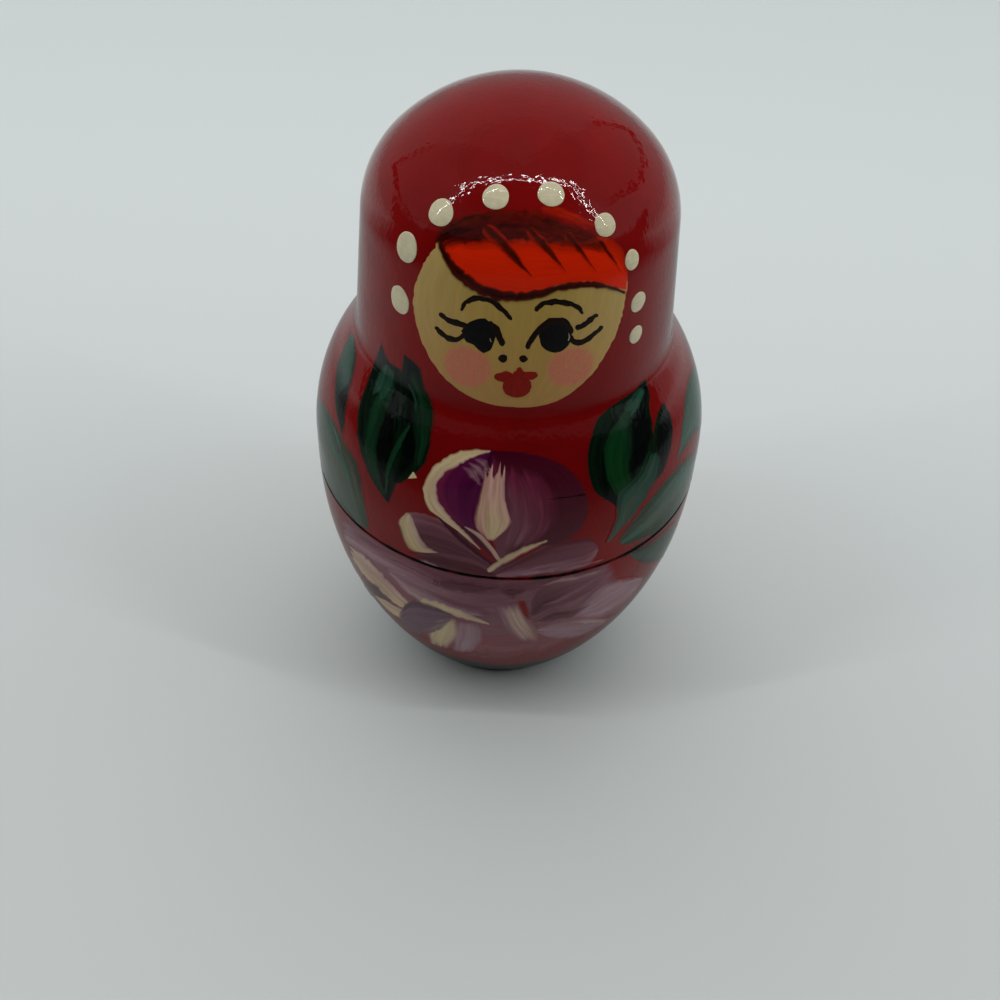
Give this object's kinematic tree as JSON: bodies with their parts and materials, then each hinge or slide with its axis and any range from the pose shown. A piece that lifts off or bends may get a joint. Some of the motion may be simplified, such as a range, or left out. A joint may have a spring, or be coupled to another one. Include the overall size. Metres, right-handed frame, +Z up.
{
  "type": "nesting doll",
  "caption": "Painted wooden nesting doll that opens at the belly and holds smaller dolls of the same shape, each in two turned halves, round a small solid doll.",
  "frame": {"origin": "middle of the outer doll's flat base, on the surface it stands on", "axes": "+Z up along the turning axis, the painted face looks along -Y, +X to the viewer's right"},
  "size_m": [0.046, 0.046, 0.076],
  "materials": {
    "painted_top": "limewood painted deep red with flowers, leaves and a face, glossy lacquer; bare inside",
    "painted_bottom": "limewood painted red with mauve petals, glossy lacquer; bare inside and on the lip",
    "painted_smallest": "solid limewood painted red, glossy lacquer"
  },
  "bodies": {
    "outer_bottom": {"outer_bottom": "painted_bottom"},
    "outer_top": {"outer_top": "painted_top"},
    "second_bottom": {"second_bottom": "painted_bottom"},
    "second_top": {"second_top": "painted_top"},
    "third_bottom": {"third_bottom": "painted_bottom"},
    "third_top": {"third_top": "painted_top"},
    "fourth_bottom": {"fourth_bottom": "painted_bottom"},
    "fourth_top": {"fourth_top": "painted_top"},
    "smallest_doll": {"smallest_doll": "painted_smallest"}
  },
  "joints": [
    {"name": "second_doll_lift", "type": "slide", "parent": "outer_bottom", "child": "second_bottom", "axis": [0, 0, 1], "range_m": [0, 0.036]},
    {"name": "third_doll_lift", "type": "slide", "parent": "second_bottom", "child": "third_bottom", "axis": [0, 0, 1], "range_m": [0, 0.029]},
    {"name": "fourth_doll_lift", "type": "slide", "parent": "third_bottom", "child": "fourth_bottom", "axis": [0, 0, 1], "range_m": [0, 0.023]},
    {"name": "smallest_doll_lift", "type": "slide", "parent": "fourth_bottom", "child": "smallest_doll", "axis": [0, 0, 1], "range_m": [0, 0.018]},
    {"name": "fourth_top_lift", "type": "slide", "parent": "smallest_doll", "child": "fourth_top", "axis": [0, 0, 1], "range_m": [0, 0.017]},
    {"name": "third_top_lift", "type": "slide", "parent": "fourth_top", "child": "third_top", "axis": [0, 0, 1], "range_m": [0, 0.023]},
    {"name": "second_top_lift", "type": "slide", "parent": "third_top", "child": "second_top", "axis": [0, 0, 1], "range_m": [0, 0.03]},
    {"name": "outer_top_lift", "type": "slide", "parent": "second_top", "child": "outer_top", "axis": [0, 0, 1], "range_m": [0, 0.038]}
  ]
}
